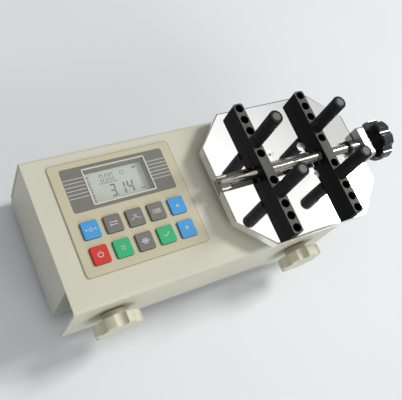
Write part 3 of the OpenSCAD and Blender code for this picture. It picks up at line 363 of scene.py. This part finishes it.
def jaw_black_with_painted_sheen(name):
    """Black sides, and a lighter top where the face points up: a painted sheen that stands in for light on
    the top face.
    """
    f = Finish(name, rough=0.42, specular=0.04)
    grain = f.noise(500, 3, 0.6, stretch=(1, 0.06, 1))
    dark = f.ramp(grain, [(0.3, (0.004, 0.004, 0.004)), (0.7, (0.008, 0.008, 0.008))])
    pale = f.ramp(grain, [(0.3, (0.1, 0.1, 0.097)), (0.7, (0.15, 0.15, 0.146))])
    # Painted sheen: the top is lighter where the face points up, standing in for light on the top face
    top = f.ramp(f.upward(), [(0.75, (0, 0, 0)), (0.95, (1, 1, 1))])
    f.colour(f.mixed(top, dark, pale))
    f.rough_between(grain, 0.32, 0.48)
    f.bump(f.noise(1500, 2, stretch=(1, 0.08, 1)), strength=0.08, depth=0.03 * MM)
    return f.material


def clear_window(name):
    f = Finish(name, rough=0.04)
    f.shader.inputs["Base Color"].default_value = (0.95, 0.97, 0.96, 1)
    f.shader.inputs["Alpha"].default_value = 0.1
    f.rough_between(f.noise(60, 2), 0.03, 0.07)
    return f.material


def display_glass(name):
    """Grey-green display face, slightly mottled."""
    f = Finish(name, rough=0.3)
    f.colour_between(f.noise(40, 2), (0.47, 0.53, 0.43), (0.52, 0.58, 0.48))
    f.bump(f.noise(3000, 1), strength=0.03, depth=0.02 * MM)
    return f.material


def circuit_board(name):
    """Green lacquer over copper tracks."""
    f = Finish(name, rough=0.4)
    f.colour_between(f.voronoi(240), (0.02, 0.14, 0.06), (0.04, 0.24, 0.1), start=0.1, end=0.5)
    f.bump(f.noise(900, 2), strength=0.2, depth=0.04 * MM)
    return f.material


def table_surface(name):
    f = Finish(name, rough=0.55, specular=0.3)
    f.colour_between(f.noise(2.2), (0.70, 0.735, 0.765), (0.745, 0.775, 0.80), start=0.35, end=0.65)
    f.bump(f.noise(900, 2), strength=0.05, depth=0.08 * MM)
    return f.material


# Width of the painted dark reflection along the rim of the platform
PAINTED_RIM_REFLECTION_WIDTH = 0.95 * MM
FINISHES = {
    "cover": powder_coat("cover_paint", (0.61, 0.6, 0.495)),
    "chassis": powder_coat("chassis_paint", (0.585, 0.585, 0.5)),
    "overlay": printed_film("overlay_film", (0.55, 0.512, 0.368)),
    "field": printed_film("field_film", (0.185, 0.182, 0.16)),
    "line": printed_film("line_print", (0.56, 0.55, 0.48)),
    # Painted shade: a dark line round the panel film stands in for the shadow at its edge
    "outline": printed_film("film_edge_shade", (0.27, 0.245, 0.17)),
    "bezel": moulded("bezel_plastic", (0.62, 0.62, 0.55)),
    "lens": clear_window("clear_window"),
    "display": display_glass("display_glass"),
    # Painted shade: the dark frame and walls inside the display window
    "window_shade": moulded("window_shade_frame", (0.1, 0.102, 0.09), 0.7, 1500, 0.06 * MM),
    "segment": moulded("segment_print", (0.055, 0.06, 0.055), 0.5),
    "faint_segment": moulded("faint_segment_print", (0.14, 0.16, 0.135), 0.5),
    "board": circuit_board("circuit_board"),
    "blue": key_cap("blue_key", (0.07, 0.33, 0.67)),
    "grey": key_cap("grey_key", (0.182, 0.176, 0.163)),
    "green": key_cap("green_key", (0.045, 0.425, 0.185)),
    "red": key_cap("red_key", (0.6, 0.045, 0.035)),
    "sign": moulded("sign_print", (0.53, 0.53, 0.51), 0.5),
    "zinc": bare_metal("zinc_plate", (0.6, 0.6, 0.61), 0.35),
    "battery": moulded("battery_film", (0.03, 0.12, 0.32), 0.3),
    "black": moulded("black_plastic", (0.02, 0.02, 0.02), 0.4),
    "frame": moulded("display_frame", (0.1, 0.1, 0.092), 0.5),
    "aluminium": bare_metal("turned_aluminium", (0.7, 0.71, 0.72), 0.32),
    "black_steel": bare_metal("black_steel", (0.06, 0.06, 0.06), 0.4),
    "chrome": mirror_chrome("mirror_chrome", nodes["clamp_platform"]),
    "satin": bare_metal("satin_steel", (0.42, 0.42, 0.41), 0.36, (1, 0.1, 1)),
    "steel": bare_metal("polished_steel", (0.36, 0.34, 0.3), 0.14, (0.1, 1, 1)),
    "pin_steel": dull_steel("pin_steel", (0.122, 0.134, 0.126)),
    "jaw": jaw_black_with_painted_sheen("jaw_black_with_painted_sheen"),
    "knob": moulded("black_knob", (0.006, 0.006, 0.007), 0.12, 900, 0.02 * MM, 0.9),
    "cream_knob": moulded("cream_knob", (0.6, 0.575, 0.455), 0.38),
    "rubber": rubber("rubber"),
}

NODE_FINISH = {
    "cover": ["top_cover"],
    "chassis": ["base_chassis"],
    "overlay": ["keypad_overlay"],
    "field": ["display_fascia"],
    "bezel": ["display_bezel"],
    "lens": ["display_lens"],
    "board": ["keypad_board", "main_board"],
    "blue": ["zero_key", "up_key", "down_key"],
    "grey": ["unit_key", "peak_key", "memory_key", "print_key"],
    "green": ["clear_key", "set_key"],
    "red": ["power_key"],
    "zinc": ["cover_screws", "board_standoffs", "board_screws", "battery_strap", "data_socket",
             "weld_nuts", "left_stud", "right_stud", "platform_screws"],
    "battery": ["battery_pack"],
    "black": ["charging_socket"],
    "frame": ["display_module"],
    "aluminium": ["sensor_base", "torque_sensor", "drive_hub"],
    "black_steel": ["sensor_screws", "hub_bolt", "bracket_screws", "thrust_collars"],
    "chrome": ["clamp_platform"],
    "satin": ["screw_bracket", "screw_saddles"],
    "steel": ["clamp_screw"],
    "pin_steel": ["left_rear_pin", "left_front_pin", "right_rear_pin", "right_front_pin"],
    "jaw": ["left_jaw", "right_jaw"],
    "knob": ["clamp_knob"],
    "cream_knob": ["left_hand_knob", "right_hand_knob"],
    "rubber": ["rubber_feet", "dust_seal", "left_pressure_pad", "right_pressure_pad", "left_rear_sleeve",
               "left_front_sleeve", "right_rear_sleeve", "right_front_sleeve"],
}

# Width in mm of the rounding that a modifier gives to the sharp edges of a node
NODE_ROUNDING = {
    "left_jaw": 0.5, "right_jaw": 0.5, "clamp_platform": 0.9, "clamp_knob": 0.7,
    "left_hand_knob": 0.8, "right_hand_knob": 0.8, "screw_bracket": 0.3, "top_cover": 0.15,
    "keypad_overlay": 0.12, "display_bezel": 0.2, "base_chassis": 0.25,
    "zero_key": 0.3, "unit_key": 0.3, "peak_key": 0.3, "memory_key": 0.3, "up_key": 0.3,
    "power_key": 0.3, "clear_key": 0.3, "print_key": 0.3, "set_key": 0.3, "down_key": 0.3,
}
ROUNDING_STEPS = 3
# An edge between faces that meet at less than this stays as it is
ROUNDED_FROM = math.radians(24)
SHARP_FROM = math.radians(28)
FLAT_CHAMFER = ["clamp_platform"]


def dress_nodes():
    """Finish, rounded edges and smooth shading of the solids."""
    for finish, names in NODE_FINISH.items():
        for name in names:
            piece = nodes[name]
            piece.data.materials.clear()
            piece.data.materials.append(FINISHES[finish])
    for name, width in NODE_ROUNDING.items():
        bevel = nodes[name].modifiers.new("rounding", "BEVEL")
        bevel.width = width * MM
        bevel.segments = 1 if name in FLAT_CHAMFER else ROUNDING_STEPS
        bevel.limit_method = "ANGLE"
        bevel.angle_limit = ROUNDED_FROM
        bevel.harden_normals = name not in FLAT_CHAMFER
    for piece in nodes.values():
        for face in piece.data.polygons:
            face.use_smooth = True
        sharpen(piece)


def sharpen(piece):
    """Smooth shading that keeps the edges sharper than the angle."""
    with bpy.context.temp_override(object=piece, active_object=piece, selected_editable_objects=[piece]):
        bpy.ops.object.shade_smooth_by_angle(angle=SHARP_FROM)


# Mesh helpers

def new_piece(name, data, finish, body, smooth=False):
    """Turn mesh data into a named piece that rides on the body."""
    mesh = bpy.data.meshes.new(name)
    data.to_mesh(mesh)
    data.free()
    piece = bpy.data.objects.new(name, mesh)
    piece.data.materials.append(FINISHES[finish])
    bpy.context.scene.collection.objects.link(piece)
    if smooth:
        for face in mesh.polygons:
            face.use_smooth = True
    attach(piece, body)


def add_plate(data, outline, z, thick):
    """A flat plate with that outline, a list of (x, y), its underside at z."""
    under = [data.verts.new((x, y, z)) for x, y in outline]
    above = [data.verts.new((x, y, z + thick)) for x, y in outline]
    data.faces.new(list(reversed(under)))
    data.faces.new(above)
    for i in range(len(outline)):
        j = (i + 1) % len(outline)
        data.faces.new((under[i], under[j], above[j], above[i]))


def turned(points, x, y, turn):
    """The points turned about 0, 0 and moved to x, y."""
    c, s = math.cos(turn), math.sin(turn)
    return [(x + a * c - b * s, y + a * s + b * c) for a, b in points]


def add_box(data, x, y, z, width, depth, thick, turn=0.0):
    a, b = width / 2, depth / 2
    add_plate(data, turned([(-a, -b), (a, -b), (a, b), (-a, b)], x, y, turn), z, thick)


def add_ring(data, x, y, z, outer, inner, thick, start=0.0, sweep=2 * math.pi, steps=28):
    """A flat ring, or part of one, made of short plates."""
    for i in range(steps):
        a = start + sweep * i / steps
        b = start + sweep * (i + 1) / steps
        corners = [(inner, a), (outer, a), (outer, b), (inner, b)]
        add_plate(data, [(x + r * math.cos(t), y + r * math.sin(t)) for r, t in corners], z, thick)


# Display, from the underside of its board upwards: board 1.6 mm and cell 4 mm under the glass

GLASS_LIFT = 5.6 * MM
FACE_GAP = 0.05 * MM
FACE_THICK = 0.05 * MM
WINDOW_SHADE_WIDTH = 1.5 * MM
WINDOW_SHADE_THICK = 0.5 * MM
SHADE_WALL_WIDTH = 0.3 * MM
SHADE_WALL_GAP = 0.02 * MM
FIGURE_GAP = 0.01 * MM
FIGURE_THICK = 0.04 * MM

# Seven-segment figures, in shares of a figure's width; the slant is a share of the height
SEGMENTS = {"0": "abcdef", "1": "bc", "3": "abcdg", "4": "bcfg"}
SLANT = 0.06
STROKE = 0.25
STEP = 1.34
STOP_SIZE = 0.18
STOP_LEFT = 0.12
STOP_UP = 0.1
STOP_STEP = 0.16
# Within a segment, in shares of its stroke
END_CUT = 0.7
JOINT_CUT = 0.46

# Places on the display, in shares of the window from its front left corner
LARGE_PLACE = (0.33, 0.13)
LARGE_SIZE = (4.9 * MM, 10.2 * MM)
SMALL_PLACE = (0.25, 0.62)
SMALL_SIZE = (2.7 * MM, 6.0 * MM)
RING_PLACE = (0.62, 0.76)
RING_OUTER = 1.7 * MM
RING_INNER = 1.2 * MM
# Place, width and height of the dashes and marks
FAINT_MARKS = [((0.25 + 0.075 * i, 0.575), 2.9 * MM, 0.9 * MM) for i in range(4)] + [
    ((0.86, 0.18), 3.2 * MM, 1.0 * MM), ((0.84, 0.84), 3.0 * MM, 1.6 * MM)]
# The scale at the left: each third tick is long
TICKS = 13
TICKS_START = 0.1
TICKS_SPAN = 0.8
TICK_LEFT = 3.2 * MM
TICK_LONG = 2.1 * MM
TICK_SHORT = 1.5 * MM
TICK_HIGH = 0.9 * MM


def add_figure(data, digit, x, y, z, width, height):
    """A seven-segment figure with its lower left corner at x, y."""
    stroke = width * STROKE
    cut = stroke * END_CUT
    joint = stroke * JOINT_CUT
    half = height / 2

    def bar(u0, v0, u1, v1):
        corners = [(u0, v0), (u1, v0), (u1, v1), (u0, v1)]
        add_plate(data, [(x + u + v * SLANT, y + v) for u, v in corners], z, FIGURE_THICK)

    flat = {"a": height - stroke, "g": half - stroke / 2, "d": 0.0}
    upright = {"f": (0.0, half), "b": (width - stroke, half), "e": (0.0, 0.0), "c": (width - stroke, 0.0)}
    for segment in SEGMENTS[digit]:
        if segment in flat:
            v = flat[segment]
            bar(cut, v, width - cut, v + stroke)
        else:
            u, v = upright[segment]
            bar(u, v + joint, u + stroke, v + half - joint)


def add_number(data, text, x, y, z, width, height):
    """Figures from left to right; a full stop takes a narrow place."""
    for sign in text:
        if sign == ".":
            stop = width * STOP_SIZE
            add_box(data, x - width * STOP_LEFT, y + width * STOP_UP, z, stop, stop, FIGURE_THICK)
            x += width * STOP_STEP
        else:
            add_figure(data, sign, x, y, z, width, height)
            x += width * STEP


def add_frame(data, middle_place, span, z, width, thick):
    """Four walls just inside the span; the front and rear ones run its whole length."""
    x, y = middle_place.x, middle_place.y
    for side in (-1, 1):
        add_box(data, x, y + side * (span.y - width) / 2, z, span.x, width, thick)
        add_box(data, x + side * (span.x - width) / 2, y, z, width, span.y - 2 * width, thick)


def add_display():
    """The display's face, a dark frame of painted shade that stands in for the shadow inside the window
    recess, and the figures on it.
    """
    window = middle("display_lens")
    span = size("display_lens")
    corner = window - span / 2

    def place(share):
        return corner.x + span.x * share[0], corner.y + span.y * share[1]

    face_low = low("display_module").z + GLASS_LIFT + FACE_GAP
    face = bmesh.new()
    add_box(face, window.x, window.y, face_low, span.x, span.y, FACE_THICK)
    new_piece("display_face", face, "display", "housing")

    # Painted shade: a dark frame on the face and dark walls up to the lens stand in for the shade in the
    # window recess
    window_shade_low = face_low + FACE_THICK
    shade_wall_low = window_shade_low + WINDOW_SHADE_THICK
    window_shade = bmesh.new()
    add_frame(window_shade, window, span, window_shade_low, WINDOW_SHADE_WIDTH, WINDOW_SHADE_THICK)
    add_frame(window_shade, window, span, shade_wall_low, SHADE_WALL_WIDTH, low("display_lens").z - SHADE_WALL_GAP - shade_wall_low)
    new_piece("display_window_shade", window_shade, "window_shade", "housing")

    z = window_shade_low + FIGURE_GAP
    figures = bmesh.new()
    add_number(figures, "3.14", *place(LARGE_PLACE), z, *LARGE_SIZE)
    for i in range(TICKS):
        x, y = place((0, TICKS_START + TICKS_SPAN * i / TICKS))
        width = TICK_SHORT if i % 3 else TICK_LONG
        add_box(figures, x + TICK_LEFT, y, z, width, TICK_HIGH, FIGURE_THICK)
    new_piece("display_figures", figures, "segment", "housing")

    faint = bmesh.new()
    add_number(faint, "0.00", *place(SMALL_PLACE), z, *SMALL_SIZE)
    for share, width, height in FAINT_MARKS:
        add_box(faint, *place(share), z, width, height, FIGURE_THICK)
    add_ring(faint, *place(RING_PLACE), z, RING_OUTER, RING_INNER, FIGURE_THICK)
    new_piece("display_faint_figures", faint, "faint_segment", "housing")


# Print on the panel

PRINT_THICK = 0.03 * MM
PRINT_SINK = 0.01 * MM
FILM_CORNER = 3 * MM
CORNER_STEPS = 6
EDGE_SHADE_INSET = 0.1 * MM
EDGE_SHADE_WIDTH = 0.32 * MM
# The lines beside the window: their places are shares of the field's depth
FIELD_LINES = 6
FIELD_LINES_START = 0.32
FIELD_LINES_STEP = 0.085
FIELD_LINE_WIDTH = 0.55 * MM
FIELD_LINE_INSET = 0.4 * MM


def add_film_edge_shade():
    """A thin dark line of painted shade where the panel film ends on the cover, standing in for the shadow
    at the film's edge.
    """
    centre = middle("keypad_overlay")
    half = size("keypad_overlay") / 2
    z = high("keypad_overlay").z - PRINT_SINK
    outer = FILM_CORNER - EDGE_SHADE_INSET
    inner = outer - EDGE_SHADE_WIDTH
    outline = []
    for turn, side_x, side_y in ((0, 1, 1), (1, -1, 1), (2, -1, -1), (3, 1, -1)):
        x = centre.x + side_x * (half.x - FILM_CORNER)
        y = centre.y + side_y * (half.y - FILM_CORNER)
        for i in range(CORNER_STEPS + 1):
            angle = (turn + i / CORNER_STEPS) * QUARTER
            outline.append((x, y, math.cos(angle), math.sin(angle)))
    data = bmesh.new()
    for a, b in zip(outline, outline[1:] + outline[:1]):
        corners = [(a, inner), (a, outer), (b, outer), (b, inner)]
        add_plate(data, [(x + r * c, y + r * s) for (x, y, c, s), r in corners], z, PRINT_THICK)
    new_piece("panel_edge_shade", data, "outline", "housing")


def add_field_lines():
    """The pale printed lines beside the display window."""
    field_low, field_high = low("display_fascia"), high("display_fascia")
    rim_low, rim_high = low("display_bezel"), high("display_bezel")
    data = bmesh.new()
    for i in range(FIELD_LINES):
        y = field_low.y + (field_high.y - field_low.y) * (FIELD_LINES_START + FIELD_LINES_STEP * i)
        for start, end in ((field_low.x, rim_low.x), (rim_high.x, field_high.x)):
            length = end - start - 2 * FIELD_LINE_INSET
            add_box(data, (start + end) / 2, y, field_high.z, length, FIELD_LINE_WIDTH, PRINT_THICK)
    new_piece("field_lines", data, "line", "housing")


# Key signs

SIGN_THICK = 0.04 * MM
SIGN_SINK = 0.01 * MM
# Angle from the rear to either end of the open ring
RING_OPENING = 0.62


def bar(data, z, x, y, width, depth, turn=0.0):
    add_box(data, x * MM, y * MM, z, width * MM, depth * MM, SIGN_THICK, turn)


def arrow(data, z, x, y, width, height, turn=0.0):
    """A triangle that points to the rear before it is turned."""
    a, b = width / 2 * MM, height / 2 * MM
    add_plate(data, turned([(-a, -b), (a, -b), (0, b)], x * MM, y * MM, turn), z, SIGN_THICK)


def ring(data, z, outer, inner, opening=0.0):
    """A ring round the middle of the key, open by that angle to each side of the rear."""
    sweep = 2 * math.pi - 2 * opening
    add_ring(data, 0, 0, z, outer * MM, inner * MM, SIGN_THICK, QUARTER + opening, sweep)


# Shapes on each key, in mm from the middle of its top: x, y, width, depth and turn of a bar or arrow,
# outer and inner radius and opening of a ring
SIGNS = {
    "zero_key": [(ring, 1.45, 0.95), (arrow, -3.0, 0, 1.9, 1.7, -QUARTER),
                 (arrow, 3.0, 0, 1.9, 1.7, QUARTER)],
    "unit_key": [(bar, 0.6, -1.0, 4.8, 0.6), (arrow, -2.7, -1.0, 1.8, 1.6, QUARTER),
                 (bar, -0.6, 1.0, 4.8, 0.6), (arrow, 2.7, 1.0, 1.8, 1.6, -QUARTER)],
    "peak_key": [(bar, -1.1, -0.2, 0.6, 3.1, -0.7), (bar, -3.0, -1.3, 1.9, 0.6),
                 (bar, 1.1, -0.2, 0.6, 3.1, 0.7), (bar, 3.0, -1.3, 1.9, 0.6), (bar, 0, 1.75, 3.4, 0.5)],
    "memory_key": [(bar, 0.8, -1.25, 5.0, 0.6), (bar, -2.9, -1.25, 0.9, 0.7), (bar, 0.8, 0, 5.0, 0.6),
                   (bar, -2.9, 0, 0.9, 0.7), (bar, 0.8, 1.25, 5.0, 0.6), (bar, -2.9, 1.25, 0.9, 0.7)],
    "up_key": [(arrow, 0, 0, 3.2, 2.8)],
    "power_key": [(ring, 2.2, 1.6, RING_OPENING), (bar, 0, 1.4, 0.6, 2.3)],
    "clear_key": [(bar, 0, 0, 4.4, 0.65, -0.8), (bar, 0, 0, 4.4, 0.65, 0.8)],
    "print_key": [(bar, 0, 0, 5.8, 1.3), (bar, 0, 1.5, 3.6, 0.8), (bar, 0, -1.5, 3.6, 0.8)],
    "set_key": [(bar, -1.4, -0.6, 0.65, 2.3, 0.75), (bar, 0.95, 0.1, 0.65, 4.3, -0.65)],
    "down_key": [(arrow, 0, 0, 3.2, 2.8, math.pi)],
}


def add_signs():
    """Each key's sign is printed on its top and rides on its cap."""
    for key, shapes in SIGNS.items():
        data = bmesh.new()
        for draw, *sizes in shapes:
            draw(data, high(key).z - SIGN_SINK, *sizes)
        place = middle(key)
        bmesh.ops.translate(data, vec=(place.x, place.y, 0), verts=data.verts)
        new_piece(key.replace("_key", "_sign"), data, "sign", key + "_cap")


# Clamp screw threads

# Between neighbouring ridges; two ridges run side by side, so a turn moves a jaw by 2 mm
THREAD_PITCH = 1.0 * MM
THREAD_STARTS = 2
THREAD_DEPTH = 0.14 * MM
# How much of the depth is sunk in the screw
THREAD_SINK = 0.5
THREAD_STEPS = 24
THREAD_MIDDLE_GAP = 3 * MM
# A ridge's section: along the screw in pitches, and outwards in depths
THREAD_SECTION = [(-0.46, 0.0), (-0.1, 1.0), (0.1, 1.0), (0.46, 0.0)]


def add_threads():
    """A left-hand thread from the left jaw's outer face to the middle, and a right-hand one on the right."""
    centre = middle("clamp_platform").x
    add_thread("left_screw_thread", low("left_jaw").x, centre - THREAD_MIDDLE_GAP, -1)
    add_thread("right_screw_thread", centre + THREAD_MIDDLE_GAP, high("right_jaw").x, 1)


def add_thread(name, start, end, hand):
    """Helical ridges on the clamp screw from start to end along X, with that hand."""
    axis = middle("clamp_screw")
    r = size("clamp_screw").z / 2
    lead = THREAD_PITCH * THREAD_STARTS
    count = int((end - start) / lead * THREAD_STEPS)
    data = bmesh.new()
    for ridge in range(THREAD_STARTS):
        rings = []
        for i in range(count + 1):
            turns = i / THREAD_STEPS
            angle = 2 * math.pi * (ridge / THREAD_STARTS + turns * hand)
            taper = min(1.0, turns, count / THREAD_STEPS - turns)
            verts = []
            for along, out in THREAD_SECTION:
                radius = r + THREAD_DEPTH * (out * taper - THREAD_SINK)
                verts.append(data.verts.new((start + lead * turns + along * THREAD_PITCH,
                                             axis.y + radius * math.cos(angle),
                                             axis.z + radius * math.sin(angle))))
            rings.append(verts)
        for a, b in zip(rings, rings[1:]):
            for k in range(len(a)):
                n = (k + 1) % len(a)
                data.faces.new((a[k], a[n], b[n], b[k]))
        data.faces.new(rings[0])
        data.faces.new(list(reversed(rings[-1])))
    bmesh.ops.recalc_face_normals(data, faces=data.faces)
    new_piece(name, data, "steel", "clamp_drive", True)


def add_table():
    data = bmesh.new()
    add_box(data, 0, 0, -TABLE_THICK, TABLE_WIDTH, TABLE_WIDTH, TABLE_THICK)
    mesh = bpy.data.meshes.new("table")
    data.to_mesh(mesh)
    data.free()
    table = bpy.data.objects.new("table", mesh)
    table.data.materials.append(table_surface("table_surface"))
    bpy.context.scene.collection.objects.link(table)


bpy.context.scene.view_settings.view_transform = "Standard"
add_camera()
add_world()
for lamp in LAMPS:
    add_lamp(*lamp)
add_table()
dress_nodes()
add_threads()
add_display()
add_field_lines()
add_film_edge_shade()
add_signs()
